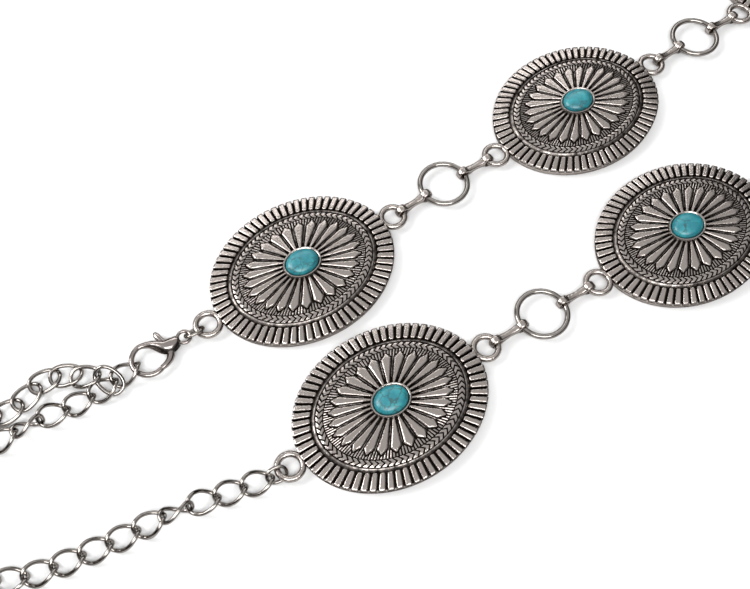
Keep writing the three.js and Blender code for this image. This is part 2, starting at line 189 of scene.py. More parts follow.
class BeltFinishes(bpy.types.PropertyGroup):
    silver: colour("Silver", "Polished high spots of the cast plates", "A59D98")
    oxide: colour("Oxide", "Blackened recesses of the cast plates", "191512")
    nickel: colour("Nickel", "Plated wire of the rings and chain", "9C9691")
    clasp: colour("Clasp", "Plated lobster clasp", "968E8A")
    turquoise: colour("Turquoise", "Body colour of the stones", "106B76")
    pale_turquoise: colour("Pale turquoise", "Clouds in the stones", "27888E")
    matrix: colour("Matrix", "Veins in the stones", "26302B")
    paper: colour("Paper", "The sheet that the belt lies on", "DEDEDE")


def sizes():
    return bpy.context.scene.belt_sizes


def finishes():
    return bpy.context.scene.belt_finishes


# Places in the shared frame

def centre_of(node):
    """The middle of a CAD node's box."""
    low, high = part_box(node)
    return (low + high) / 2


BELT_SHIFT = centre_of("stone_1") - Vector((*FIRST_CONCHO, 0)) * MM
BELT_SHIFT.z = 0


def in_frame(x, y, z):
    """A place given in the belt's layout, in millimetres, as a place in the frame."""
    return BELT_SHIFT + Vector((x, y, z)) * MM


def direction(heading, rise=0):
    """A unit vector from a heading and a rise in degrees."""
    heading = math.radians(heading)
    rise = math.radians(rise)
    return Vector((math.cos(heading) * math.cos(rise), math.sin(heading) * math.cos(rise), math.sin(rise)))


def rolled_up(along, roll):
    """The upward side of a piece that lies along a direction and is rolled about it by degrees."""
    across = UP.cross(along).normalized()
    up = along.cross(across)
    roll = math.radians(roll)
    return up * math.cos(roll) - across * math.sin(roll)


# Meshes

def loft(loops, closed=False):
    """Points and faces of a skin over loops of equal count. Its ends are filled, or joined if closed."""
    count = len(loops[0])
    points = [point for loop in loops for point in loop]
    faces = []
    for i in range(len(loops) if closed else len(loops) - 1):
        here = i * count
        there = (i + 1) % len(loops) * count
        for k in range(count):
            after = (k + 1) % count
            faces.append((here + k, here + after, there + after, there + k))
    if not closed:
        faces.append(tuple(reversed(range(count))))
        faces.append(tuple(range(len(points) - count, len(points))))
    return points, faces


def make_mesh(name, shells):
    """One mesh from skins. A point's fourth number, where it has one, is how polished it is there."""
    points = []
    faces = []
    for shell_points, shell_faces in shells:
        start = len(points)
        points += shell_points
        faces += [[start + i for i in face] for face in shell_faces]
    mesh = bpy.data.meshes.new(name)
    mesh.from_pydata([point[:3] for point in points], [], faces)
    polish = mesh.attributes.new("polish", "FLOAT", "POINT")
    polish.data.foreach_set("value", [point[3] if len(point) > 3 else 1.0 for point in points])
    mesh.update()
    return mesh


def settle_mesh(mesh, sharp_angle=38):
    """Turns a mesh's faces outwards and shades it smooth between sharp edges."""
    shape = bmesh.new()
    shape.from_mesh(mesh)
    bmesh.ops.recalc_face_normals(shape, faces=shape.faces)
    shape.to_mesh(mesh)
    shape.free()
    mesh.shade_smooth()
    mesh.set_sharp_from_angle(angle=math.radians(sharp_angle))
    return mesh


def merge_meshes(name, meshes):
    """One mesh from several, keeping their polish."""
    shape = bmesh.new()
    for mesh in meshes:
        shape.from_mesh(mesh)
    merged = bpy.data.meshes.new(name)
    shape.to_mesh(merged)
    shape.free()
    return merged


def oval_loop(oval, segments, polish=1.0):
    """Points round an oval, given in millimetres, at equal angles."""
    half_x, half_y, height = (size * MM for size in oval)
    return [
        (half_x * math.cos(TURN * i / segments), half_y * math.sin(TURN * i / segments), height, polish)
        for i in range(segments)
    ]


def tube(path, sections):
    """A closed tube: every path point's frame carries a section given as (inward, sideways) offsets."""
    loops = []
    for i, here in enumerate(path):
        along = (path[(i + 1) % len(path)] - path[i - 1]).normalized()
        inward = -here
        inward -= along * inward.dot(along)
        inward.normalize()
        across = along.cross(inward)
        loops.append([tuple(here + inward * u + across * v) for u, v in sections[i % len(sections)]])
    return loft(loops, closed=True)


def flat_circle(radius, steps):
    """Points of a level circle about the origin."""
    return [
        Vector((math.cos(TURN * i / steps), math.sin(TURN * i / steps), 0)) * radius for i in range(steps)
    ]


def round_section(radius, sides):
    return [
        (radius * math.cos(TURN * i / sides), radius * math.sin(TURN * i / sides)) for i in range(sides)
    ]


def add_piece(name, mesh, material, replaced, body="belt"):
    """Puts a finished mesh into the scene as a piece that stands for CAD nodes and rides on a body."""
    mesh.materials.clear()
    mesh.materials.append(material)
    for polygon in mesh.polygons:
        polygon.material_index = 0
    piece = bpy.data.objects.new(name, mesh)
    bpy.context.scene.collection.objects.link(piece)
    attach(piece, body)
    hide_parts(*replaced)
    return piece


def add_on_conchos(pattern, name, node, material):
    """Adds a copy of a mesh at each concho's place and heading."""
    for number, heading in enumerate(CONCHO_HEADINGS, 1):
        place = centre_of(f"stone_{number}")
        place.z = 0
        mesh = pattern.copy()
        mesh.transform(Matrix.Translation(place) @ Matrix.Rotation(math.radians(heading), 4, "Z"))
        add_piece(f"{name}_{number}", mesh, material, [f"{node}_{number}"])


# Node trees

def add_node(tree, kind, inputs=None, **settings):
    """Adds a node with its settings, and gives each named or numbered input a value or a link."""
    node = tree.nodes.new(kind)
    for name, value in settings.items():
        setattr(node, name, value)
    for key, value in (inputs or {}).items():
        if isinstance(value, bpy.types.NodeSocket):
            tree.links.new(value, node.inputs[key])
        else:
            node.inputs[key].default_value = value
    return node.outputs


def start_tree(name, inputs):
    """Starts a Geometry Nodes tree that has the named inputs after its geometry."""
    tree = bpy.data.node_groups.new(name, "GeometryNodeTree")
    tree.is_modifier = True
    tree.interface.new_socket("Geometry", in_out="INPUT", socket_type="NodeSocketGeometry")
    for label, kind in inputs.items():
        tree.interface.new_socket(label, in_out="INPUT", socket_type=kind)
    tree.interface.new_socket("Geometry", in_out="OUTPUT", socket_type="NodeSocketGeometry")
    return tree, add_node(tree, "NodeGroupInput")


def end_tree(tree, geometry, material):
    """Ends a tree in real geometry with its material."""
    real = add_node(tree, "GeometryNodeRealizeInstances", {"Geometry": geometry})
    painted = add_node(tree, "GeometryNodeSetMaterial", {"Geometry": real[0], "Material": material})
    add_node(tree, "NodeGroupOutput", {0: painted[0]})


def run_tree(tree, mesh, settings):
    """Runs a tree on a mesh and returns the result as a plain mesh."""
    carrier = bpy.data.objects.new("carrier", mesh)
    bpy.context.scene.collection.objects.link(carrier)
    modifier = carrier.modifiers.new("nodes", "NODES")
    modifier.node_group = tree
    for item in tree.interface.items_tree:
        if item.in_out == "INPUT" and item.name in settings:
            modifier[item.identifier] = settings[item.name]
    graph = bpy.context.evaluated_depsgraph_get()
    made = bpy.data.meshes.new_from_object(
        carrier.evaluated_get(graph), preserve_all_data_layers=True, depsgraph=graph
    )
    carrier.modifiers.remove(modifier)
    bpy.data.objects.remove(carrier)
    return made


def oval_ring_tree():
    """Tiles a mesh round an oval band. A tile's X runs from the inner oval to the outer one, its Y is one
    pitch wide, and its Z is a height over the band. Tiles are spaced evenly along the spacing oval."""
    tree, given = start_tree("Oval ring", {
        "Count": "NodeSocketInt",
        "Start": "NodeSocketFloat",
        "Height": "NodeSocketFloat",
        "Inner": "NodeSocketVector",
        "Outer": "NodeSocketVector",
        "Spacing": "NodeSocketVector",
        "Material": "NodeSocketMaterial",
    })
    index = add_node(tree, "GeometryNodeInputIndex")
    shifted = add_node(tree, "ShaderNodeMath", {0: index[0], 1: given["Start"]}, operation="ADD")
    part = add_node(tree, "ShaderNodeMath", {0: shifted[0], 1: given["Count"]}, operation="DIVIDE")
    place = add_node(tree, "ShaderNodeCombineXYZ", {"Y": part[0]})
    points = add_node(tree, "GeometryNodePoints", {"Count": given["Count"], "Position": place[0]})
    pitch = add_node(tree, "ShaderNodeMath", {0: 1.0, 1: given["Count"]}, operation="DIVIDE")
    scale = add_node(tree, "ShaderNodeCombineXYZ", {"X": 1.0, "Y": pitch[0], "Z": given["Height"]})
    tiles = add_node(tree, "GeometryNodeInstanceOnPoints", {
        "Points": points[0], "Instance": given["Geometry"], "Scale": scale[0],
    })
    strip = add_node(tree, "GeometryNodeRealizeInstances", {"Geometry": tiles[0]})

    circle = add_node(tree, "GeometryNodeCurvePrimitiveCircle", {"Resolution": 720, "Radius": 1.0})
    spacing = add_node(tree, "ShaderNodeSeparateXYZ", {0: given["Spacing"]})
    flat = add_node(tree, "ShaderNodeCombineXYZ", {"X": spacing["X"], "Y": spacing["Y"], "Z": 1.0})
    oval = add_node(tree, "GeometryNodeTransform", {"Geometry": circle[0], "Scale": flat[0]})
    position = add_node(tree, "GeometryNodeInputPosition")
    tile = add_node(tree, "ShaderNodeSeparateXYZ", {0: position[0]})
    round_part = add_node(tree, "ShaderNodeMath", {0: tile["Y"]}, operation="FRACT")
    sampled = add_node(
        tree, "GeometryNodeSampleCurve", {"Curves": oval[0], "Factor": round_part[0]}, mode="FACTOR"
    )
    on_oval = add_node(tree, "ShaderNodeSeparateXYZ", {0: sampled["Position"]})
    cosine = add_node(tree, "ShaderNodeMath", {0: on_oval["X"], 1: spacing["X"]}, operation="DIVIDE")
    sine = add_node(tree, "ShaderNodeMath", {0: on_oval["Y"], 1: spacing["Y"]}, operation="DIVIDE")

    span = add_node(
        tree, "ShaderNodeVectorMath", {0: given["Outer"], 1: given["Inner"]}, operation="SUBTRACT"
    )
    reached = add_node(
        tree, "ShaderNodeVectorMath", {0: span[0], "Scale": tile["X"]}, operation="SCALE"
    )
    band = add_node(tree, "ShaderNodeVectorMath", {0: reached[0], 1: given["Inner"]}, operation="ADD")
    halves = add_node(tree, "ShaderNodeSeparateXYZ", {0: band[0]})
    x = add_node(tree, "ShaderNodeMath", {0: halves["X"], 1: cosine[0]}, operation="MULTIPLY")
    y = add_node(tree, "ShaderNodeMath", {0: halves["Y"], 1: sine[0]}, operation="MULTIPLY")
    z = add_node(tree, "ShaderNodeMath", {0: halves["Z"], 1: tile["Z"]}, operation="ADD")
    bent = add_node(tree, "ShaderNodeCombineXYZ", {"X": x[0], "Y": y[0], "Z": z[0]})
    laid = add_node(tree, "GeometryNodeSetPosition", {"Geometry": strip[0], "Position": bent[0]})
    end_tree(tree, laid[0], given["Material"])
    return tree


def put_on_places(tree, places, instance):
    """Lays an instance on each point, along its own direction and facing its own way up."""
    along = add_node(tree, "GeometryNodeInputNamedAttribute", {"Name": "along"}, data_type="FLOAT_VECTOR")
    up = add_node(tree, "GeometryNodeInputNamedAttribute", {"Name": "up"}, data_type="FLOAT_VECTOR")
    turned = add_node(
        tree, "FunctionNodeAxesToRotation", {0: along[0], 1: up[0]}, primary_axis="X", secondary_axis="Z"
    )
    return add_node(tree, "GeometryNodeInstanceOnPoints", {
        "Points": places, "Instance": instance, "Rotation": turned[0],
    })


def curb_link_tree():
    """Lays curb links on places: an oval wire whose two ends are twisted against each other."""
    tree, given = start_tree("Curb links", {
        "Length": "NodeSocketFloat",
        "Width": "NodeSocketFloat",
        "Wire": "NodeSocketFloat",
        "Roundness": "NodeSocketFloat",
        "Twist": "NodeSocketFloat",
        "Steps": "NodeSocketInt",
        "Sides": "NodeSocketInt",
        "Material": "NodeSocketMaterial",
    })
    circle = add_node(tree, "GeometryNodeCurvePrimitiveCircle", {"Resolution": given["Steps"], "Radius": 1.0})
    position = add_node(tree, "GeometryNodeInputPosition")
    point = add_node(tree, "ShaderNodeSeparateXYZ", {0: position[0]})
    power = add_node(tree, "ShaderNodeMath", {0: 2.0, 1: given["Roundness"]}, operation="DIVIDE")
    bulged = []
    for axis in ("X", "Y"):
        size = add_node(tree, "ShaderNodeMath", {0: point[axis]}, operation="ABSOLUTE")
        raised = add_node(tree, "ShaderNodeMath", {0: size[0], 1: power[0]}, operation="POWER")
        side = add_node(tree, "ShaderNodeMath", {0: point[axis]}, operation="SIGN")
        signed = add_node(tree, "ShaderNodeMath", {0: raised[0], 1: side[0]}, operation="MULTIPLY")
        half = add_node(tree, "ShaderNodeMath", {0: signed[0], 1: 0.5}, operation="MULTIPLY")
        bulged.append((signed[0], half[0]))
    (reach, half_reach), (_, half_side) = bulged
    x = add_node(tree, "ShaderNodeMath", {0: half_reach, 1: given["Length"]}, operation="MULTIPLY")
    side = add_node(tree, "ShaderNodeMath", {0: half_side, 1: given["Width"]}, operation="MULTIPLY")
    twist = add_node(tree, "ShaderNodeMath", {0: reach, 1: given["Twist"]}, operation="MULTIPLY")
    cosine = add_node(tree, "ShaderNodeMath", {0: twist[0]}, operation="COSINE")
    sine = add_node(tree, "ShaderNodeMath", {0: twist[0]}, operation="SINE")
    y = add_node(tree, "ShaderNodeMath", {0: side[0], 1: cosine[0]}, operation="MULTIPLY")
    rise = add_node(tree, "ShaderNodeMath", {0: side[0], 1: sine[0]}, operation="MULTIPLY")
    z = add_node(tree, "ShaderNodeMath", {0: rise[0], 1: -1.0}, operation="MULTIPLY")
    bent = add_node(tree, "ShaderNodeCombineXYZ", {"X": x[0], "Y": y[0], "Z": z[0]})
    centreline = add_node(tree, "GeometryNodeSetPosition", {"Geometry": circle[0], "Position": bent[0]})
    profile = add_node(
        tree, "GeometryNodeCurvePrimitiveCircle", {"Resolution": given["Sides"], "Radius": given["Wire"]}
    )
    link = add_node(tree, "GeometryNodeCurveToMesh", {"Curve": centreline[0], "Profile Curve": profile[0]})
    links = put_on_places(tree, given["Geometry"], link[0])
    end_tree(tree, links[0], given["Material"])
    return tree


def wire_ring_tree():
    """Lays open wire rings on places. Their ends almost meet at a seam, in the place's direction."""
    tree, given = start_tree("Wire rings", {
        "Radius": "NodeSocketFloat",
        "Wire": "NodeSocketFloat",
        "Seam": "NodeSocketFloat",
        "Steps": "NodeSocketInt",
        "Sides": "NodeSocketInt",
        "Material": "NodeSocketMaterial",
    })
    start = add_node(tree, "ShaderNodeMath", {0: given["Seam"], 1: 0.5}, operation="MULTIPLY")
    sweep = add_node(tree, "ShaderNodeMath", {0: TURN, 1: given["Seam"]}, operation="SUBTRACT")
    arc = add_node(tree, "GeometryNodeCurveArc", {
        "Resolution": given["Steps"], "Radius": given["Radius"], "Start Angle": start[0],
        "Sweep Angle": sweep[0],
    }, mode="RADIUS")
    profile = add_node(
        tree, "GeometryNodeCurvePrimitiveCircle", {"Resolution": given["Sides"], "Radius": given["Wire"]}
    )
    ring = add_node(tree, "GeometryNodeCurveToMesh", {
        "Curve": arc[0], "Profile Curve": profile[0], "Fill Caps": True,
    })
    rings = put_on_places(tree, given["Geometry"], ring[0])
    end_tree(tree, rings[0], given["Material"])
    return tree


def repeated_piece_tree():
    """Lays copies of another object's mesh on places."""
    tree, given = start_tree("Repeated piece", {
        "Piece": "NodeSocketObject",
        "Material": "NodeSocketMaterial",
    })
    piece = add_node(tree, "GeometryNodeObjectInfo", {"Object": given["Piece"]})
    copies = put_on_places(tree, given["Geometry"], piece["Geometry"])
    end_tree(tree, copies[0], given["Material"])
    return tree


def places_mesh(places):
    """Loose points, each carrying the direction that its piece lies along and its way up."""
    mesh = bpy.data.meshes.new("places")
    mesh.from_pydata([place[0] for place in places], [], [])
    for name, column in (("along", 1), ("up", 2)):
        attribute = mesh.attributes.new(name, "FLOAT_VECTOR", "POINT")
        attribute.data.foreach_set("vector", [value for place in places for value in place[column]])
    return mesh


# Materials

SILVER_PLATE = "antique silver plate on cast zinc"
NICKEL_PLATE = "bright nickel plate on steel wire"
# Painted dark reflection: the plating's tint at a grazing angle is dark, so that its edges look as if they
# mirrored dark surroundings
PAINTED_DARK_EDGE_TINT = (0.22, 0.22, 0.22, 1)


def start_material(name):
    """A node material with its object coordinates and an empty tree."""
    material = bpy.data.materials.new(name)
    material.use_nodes = True
    tree = material.node_tree
    tree.nodes.clear()
    coordinates = add_node(tree, "ShaderNodeTexCoord")
    return material, tree, coordinates["Object"]


def end_material(tree, inputs):
    """Ends a material in one Principled surface."""
    surface = add_node(tree, "ShaderNodeBsdfPrincipled", inputs)
    add_node(tree, "ShaderNodeOutputMaterial", {"Surface": surface[0]})


def antique_silver_plate():
    """Silver plate on cast zinc, blackened and rubbed back: bright on the crests, black in the grooves."""
    material, tree, place = start_material(SILVER_PLATE)
    polish = add_node(tree, "ShaderNodeAttribute", attribute_name="polish")
    # Rubbing leaves uneven patches about 2 mm across
    patches = add_node(tree, "ShaderNodeTexNoise", {
        "Vector": place, "Scale": 500, "Detail": 4, "Roughness": 0.6,
    })
    uneven = add_node(tree, "ShaderNodeMapRange", {
        "Value": patches["Fac"], "From Min": 0.3, "From Max": 0.7, "To Min": -0.22, "To Max": 0.16,
    })
    rubbed = add_node(tree, "ShaderNodeMath", {0: polish["Fac"], 1: uneven[0]}, operation="ADD")
    bright = add_node(tree, "ShaderNodeMapRange", {
        "Value": rubbed[0], "From Min": 0.18, "From Max": 0.62, "To Min": 0.0, "To Max": 1.0,
    }, interpolation_type="SMOOTHSTEP")
    tone = add_node(tree, "ShaderNodeMix", {
        "Factor": bright[0], "A": (*finishes().oxide, 1), "B": (*finishes().silver, 1),
    }, data_type="RGBA")
    roughness = add_node(tree, "ShaderNodeMapRange", {
        "Value": bright[0], "To Min": 0.55, "To Max": 0.22,
    })
    # Cast skin: soft unevenness about 0.5 mm across, drawn a little coarser than the real grain
    grain = add_node(tree, "ShaderNodeTexNoise", {
        "Vector": place, "Scale": 1900, "Detail": 3, "Roughness": 0.55,
    })
    bump = add_node(tree, "ShaderNodeBump", {
        "Height": grain["Fac"], "Strength": 0.8, "Distance": 0.1 * MM,
    })
    # Specular Tint paints dark reflections along the metal's edges
    end_material(tree, {
        "Base Color": tone["Result"], "Metallic": 1.0, "Specular Tint": PAINTED_DARK_EDGE_TINT,
        "Roughness": roughness[0], "Normal": bump[0],
    })
    return material


def nickel_plate():
    """Bright nickel plate on drawn steel wire: smooth, slightly warm, with faint smudges."""
    material, tree, place = start_material(NICKEL_PLATE)
    # Handling leaves smudges about 4 mm across
    smudges = add_node(tree, "ShaderNodeTexNoise", {
        "Vector": place, "Scale": 260, "Detail": 3, "Roughness": 0.6,
    })
    roughness = add_node(tree, "ShaderNodeMapRange", {
        "Value": smudges["Fac"], "To Min": 0.08, "To Max": 0.2,
    })
    dull = [0.72 * c for c in finishes().nickel]
    tone = add_node(tree, "ShaderNodeMix", {
        "Factor": smudges["Fac"], "A": (*dull, 1), "B": (*finishes().nickel, 1),
    }, data_type="RGBA")
    # Unevenness of the plating about 0.7 mm across, drawn coarser than the real one
    grain = add_node(tree, "ShaderNodeTexNoise", {
        "Vector": place, "Scale": 1500, "Detail": 2, "Roughness": 0.5,
    })
    bump = add_node(tree, "ShaderNodeBump", {
        "Height": grain["Fac"], "Strength": 0.2, "Distance": 0.03 * MM,
    })
    # Specular Tint paints dark reflections along the wire's edges
    end_material(tree, {
        "Base Color": tone["Result"], "Metallic": 1.0, "Specular Tint": PAINTED_DARK_EDGE_TINT,
        "Roughness": roughness[0], "Normal": bump[0],
    })
    return material


def clasp_plate():
    """Antique nickel plate on die-cast zinc: warmer and softer than the wire."""
    material, tree, place = start_material("antique nickel plate on die-cast zinc")
    # Wear leaves patches about 2.4 mm across
    patches = add_node(tree, "ShaderNodeTexNoise", {
        "Vector": place, "Scale": 420, "Detail": 3, "Roughness": 0.6,
    })
    roughness = add_node(tree, "ShaderNodeMapRange", {
        "Value": patches["Fac"], "To Min": 0.12, "To Max": 0.24,
    })
    # Cast skin under the plate, about 0.7 mm across, drawn coarser than the real grain
    grain = add_node(tree, "ShaderNodeTexNoise", {
        "Vector": place, "Scale": 1400, "Detail": 2, "Roughness": 0.5,
    })
    bump = add_node(tree, "ShaderNodeBump", {
        "Height": grain["Fac"], "Strength": 0.2, "Distance": 0.04 * MM,
    })
    # Specular Tint paints dark reflections along the clasp's edges
    end_material(tree, {
        "Base Color": (*finishes().clasp, 1), "Metallic": 1.0, "Specular Tint": PAINTED_DARK_EDGE_TINT,
        "Roughness": roughness[0], "Normal": bump[0],
    })
    return material


def turquoise_stone():
    """Polished turquoise: clouded blue-green with a web of dark matrix, under a waxy gloss."""
    material, tree, place = start_material("polished turquoise with matrix")
    # Bends the veins, in waves about 4 mm long
    drift = add_node(tree, "ShaderNodeTexNoise", {
        "Vector": place, "Scale": 230, "Detail": 3, "Roughness": 0.6,
    })
    shift = add_node(tree, "ShaderNodeVectorMath", {
        0: drift["Color"], 1: (0.5, 0.5, 0.5),
    }, operation="SUBTRACT")
    small = add_node(tree, "ShaderNodeVectorMath", {0: shift[0], "Scale": 5 * MM}, operation="SCALE")
    warped = add_node(tree, "ShaderNodeVectorMath", {0: place, 1: small[0]}, operation="ADD")
    # Clouds in the stone about 3 mm across
    clouds = add_node(tree, "ShaderNodeTexNoise", {
        "Vector": place, "Scale": 330, "Detail": 4, "Roughness": 0.6,
    })
    cloud_part = add_node(tree, "ShaderNodeMapRange", {
        "Value": clouds["Fac"], "From Min": 0.42, "From Max": 0.72,
    })
    body = add_node(tree, "ShaderNodeMix", {
        "Factor": cloud_part[0], "A": (*finishes().turquoise, 1), "B": (*finishes().pale_turquoise, 1),
    }, data_type="RGBA")
    # Veins lie about 3 mm apart and are about 0.2 mm wide
    cells = add_node(tree, "ShaderNodeTexVoronoi", {
        "Vector": warped[0], "Scale": 290,
    }, feature="DISTANCE_TO_EDGE")
    vein = add_node(tree, "ShaderNodeMapRange", {
        "Value": cells["Distance"], "From Min": 0.01, "From Max": 0.06, "To Min": 1.0, "To Max": 0.0,
    })
    # They fade out in patches about 5 mm across
    where = add_node(tree, "ShaderNodeTexNoise", {"Vector": place, "Scale": 180, "Detail": 2})
    kept = add_node(tree, "ShaderNodeMapRange", {
        "Value": where["Fac"], "From Min": 0.36, "From Max": 0.5, "To Max": 0.72,
    })
    matrix = add_node(tree, "ShaderNodeMath", {0: vein[0], 1: kept[0]}, operation="MULTIPLY")
    tone = add_node(tree, "ShaderNodeMix", {
        "Factor": matrix[0], "A": body["Result"], "B": (*finishes().matrix, 1),
    }, data_type="RGBA")
    bump = add_node(tree, "ShaderNodeBump", {
        "Height": matrix[0], "Strength": 0.25, "Distance": 0.05 * MM,
    }, invert=True)
    end_material(tree, {
        "Base Color": tone["Result"], "Roughness": 0.36, "IOR": 1.61, "Normal": bump[0],
    })
    return material


def matt_paper():
    """Seamless paper: matt and almost without texture, and white under the studio's light."""
    material, tree, place = start_material("matt white paper")
    # Real fibres are finer than this: they are drawn about 1 mm across
    fibre = add_node(tree, "ShaderNodeTexNoise", {"Vector": place, "Scale": 900, "Detail": 2})
    bump = add_node(tree, "ShaderNodeBump", {"Height": fibre["Fac"], "Strength": 0.04, "Distance": 0.02 * MM})
    end_material(tree, {"Base Color": (*finishes().paper, 1), "Roughness": 0.9, "Normal": bump[0]})
    return material


def studio_world():
    """A studio that is dark near the floor and pale overhead, so that round metal shows dark edges."""
    world = bpy.data.worlds.new("studio")
    world.use_nodes = True
    tree = world.node_tree
    tree.nodes.clear()
    coordinates = add_node(tree, "ShaderNodeTexCoord")
    place = add_node(tree, "ShaderNodeSeparateXYZ", {0: coordinates["Generated"]})
    height = add_node(tree, "ShaderNodeMapRange", {
        "Value": place["Z"], "From Min": 0.36, "From Max": 0.86, "To Min": 0.015, "To Max": 0.85,
    }, interpolation_type="SMOOTHSTEP")
    sky = add_node(tree, "ShaderNodeBackground", {"Color": (1, 1, 1, 1), "Strength": height[0]})
    add_node(tree, "ShaderNodeOutputWorld", {"Surface": sky[0]})
    return world


# Tiles of the cast relief: X from the inner oval to the outer, Y in pitches, Z in parts of the height

def crowned_section(x, half_width, height, floor=-0.35, middle=0.0, shine=1.0, crown=0.08):
    """A bar's cross-section at one X: upright flanks, rounded shoulders and an almost flat crest."""
    corners = [
        (-1, 0.4, 0.05), (-0.95, 0.82 - crown, 0.5), (-0.8, 1 - crown, 1.0), (-0.5, 1.0, 1.0),
        (-0.25, 0.975, 1.0), (0.25, 0.975, 1.0), (0.5, 1.0, 1.0), (0.8, 1 - crown, 1.0),
        (0.95, 0.82 - crown, 0.5), (1, 0.4, 0.05),
    ]
    section = [(x, middle - half_width, floor, 0.0)]
    section += [(x, middle + half_width * y, height * z, polish * shine) for y, z, polish in corners]
    section.append((x, middle + half_width, floor, 0.0))
    return section


def rib_tile():
    stations = [
        (0.0, 0.18, 0.4), (0.025, 0.28, 0.78), (0.07, 0.35, 0.97), (0.16, 0.375, 1.0), (0.6, 0.385, 1.0),
        (0.9, 0.39, 1.0), (0.97, 0.39, 0.97), (0.997, 0.38, 0.84), (1.0, 0.37, 0.1),
    ]
    return make_mesh("rib", [loft([crowned_section(*station) for station in stations])])


def petal_tile():
    stations = [
        (0.0, 0.255, 0.75), (0.12, 0.295, 0.8), (0.35, 0.345, 0.85), (0.6, 0.385, 0.9), (0.8, 0.42, 1.0),
        (0.84, 0.405, 1.0), (0.885, 0.285, 0.97), (0.94, 0.14, 0.9), (0.98, 0.06, 0.8), (1.0, 0.01, 0.4),
    ]
    petal = loft([crowned_section(*station, crown=0.14) for station in stations])
    # A painted shadow round the petal: a black border just over the fine lines, where the raised petal shades
    # the field
    shadow_margin = 0.05
    low = -0.35
    top = 0.42
    border = loft([
        [
            (x * 1.03, side * (half_width + shadow_margin), height, 0.0)
            for side, height in ((-1, low), (-1, top), (1, top), (1, low))
        ]
        for x, half_width, _ in stations
    ])
    line = loft([
        crowned_section(x, half_width, height, middle=0.5, shine=0.45)
        for x, half_width, height in ((0.2, 0.03, 0.4), (0.45, 0.036, 0.55), (0.74, 0.03, 0.55))
    ])
    return make_mesh("petal", [petal, border, line])


def chevron_tile():
    """Two slanting leaves that meet in a point, which leads them by a part of the pitch."""
    thickness = 0.73
    lead = 0.6
    leaves = []
    for border in (0.02, 0.98):
        sections = []
        for x, shift, height in ((border, 0.0, 0.55), ((border + 0.5) / 2, lead / 2, 1.0), (0.5, lead, 0.9)):
            low = shift - thickness / 2 - lead / 2
            high = low + thickness
            sections.append([
                (x, low, -0.5, 0.0), (x, low + 0.03, height * 0.5, 0.1), (x, low + 0.06, height, 1.0),
                (x, high - 0.06, height, 1.0), (x, high - 0.03, height * 0.5, 0.1), (x, high, -0.5, 0.0),
            ])
        leaves.append(loft(sections))
    return make_mesh("chevron", leaves)


def hatch_tile():
    sections = [
        [
            (x, -0.3, -0.5, 0), (x, -0.24, 0.8, 0.46), (x, 0, 1.0, 0.72), (x, 0.24, 0.8, 0.46),
            (x, 0.3, -0.5, 0),
        ]
        for x in (0.0, 1.0)
    ]
    return make_mesh("hatch", [loft(sections)])


# Pieces

def oval_ring(tree, tile, count, height, inner, outer, spacing, material, start=0.0):
    """One band of tiles round the plate."""
    return run_tree(tree, tile, {
        "Count": count,
        "Start": start,
        "Height": height,
        "Inner": Vector(inner) * MM,
        "Outer": Vector(outer) * MM,
        "Spacing": Vector(spacing) * MM,
        "Material": material,
    })


def mean_oval(inner, outer):
    return tuple((a + b) / 2 for a, b in zip(inner, outer))


def plate_mesh():
    """The smooth body of a concho, from its hollow underside round the wall to the cup."""
    loops = [oval_loop(oval, PLATE_SEGMENTS, polish) for *oval, polish in PLATE_SKIN]
    bottom = oval_loop(PLATE_HOLLOW_TOP, PLATE_SEGMENTS, 0.0)
    seat = oval_loop(PLATE_SEAT, PLATE_SEGMENTS, 0.0)
    return make_mesh("plate", [loft([bottom, *loops, seat])])


def end_loop_mesh(side):
    """A concho's end loop, cast with the plate."""
    size = sizes()
    points, faces = tube(flat_circle(size.loop_radius, 56), [round_section(size.loop_wire, 16)])
    offset = side * size.loop_offset
    moved = [(x + offset, y, z + LINK_LEVEL * MM, CAST_LINK_POLISH) for x, y, z in points]
    return make_mesh("end loop", [(moved, faces)])


class BELT_OT_conchos(bpy.types.Operator):
    """Make the cast plates: ribs, ridge, chevrons, hatch, petals, cup and end loops"""

    bl_idname = "belt.conchos"
    bl_label = "Conchos"

    def execute(self, context):
        size = sizes()
        material = antique_silver_plate()
        tree = oval_ring_tree()
        round_spacing = (1, 1, 0)
        bands = [
            oval_ring(tree, rib_tile(), size.ribs, size.rib_height, RIB_START, RIB_END,
                      mean_oval(RIB_START, RIB_END), material),
            oval_ring(tree, chevron_tile(), size.chevrons, size.chevron_height, CHEVRON_START, CHEVRON_END,
                      mean_oval(CHEVRON_START, CHEVRON_END), material),
            oval_ring(tree, petal_tile(), size.petals, size.petal_height, PETAL_START, PETAL_END,
                      round_spacing, material),
            oval_ring(tree, hatch_tile(), size.hatches, size.hatch_height, HATCH_START, HATCH_END,
                      round_spacing, material, start=0.5),
        ]
        parts = [plate_mesh(), end_loop_mesh(-1), end_loop_mesh(1), *bands]
        concho = settle_mesh(merge_meshes("concho", parts))
        add_on_conchos(concho, "concho_plate", "concho", material)
        return {"FINISHED"}


class BELT_OT_cabochons(bpy.types.Operator):
    """Make the domed stones in the plates' cups"""

    bl_idname = "belt.cabochons"
    bl_label = "Cabochons"

    def execute(self, context):
        material = turquoise_stone()
        loops = [oval_loop(oval, CABOCHON_SEGMENTS) for oval in [*CABOCHON_SKIN, CABOCHON_TOP]]
        stone = settle_mesh(make_mesh("cabochon", [loft(loops)]), sharp_angle=60)
        add_on_conchos(stone, "cabochon", "stone", material)
        return {"FINISHED"}


# Headings of the rings' seams. Only the last one shows clearly in the photo
RING_SEAMS = [100, 100, 60, 200, 40, -52]


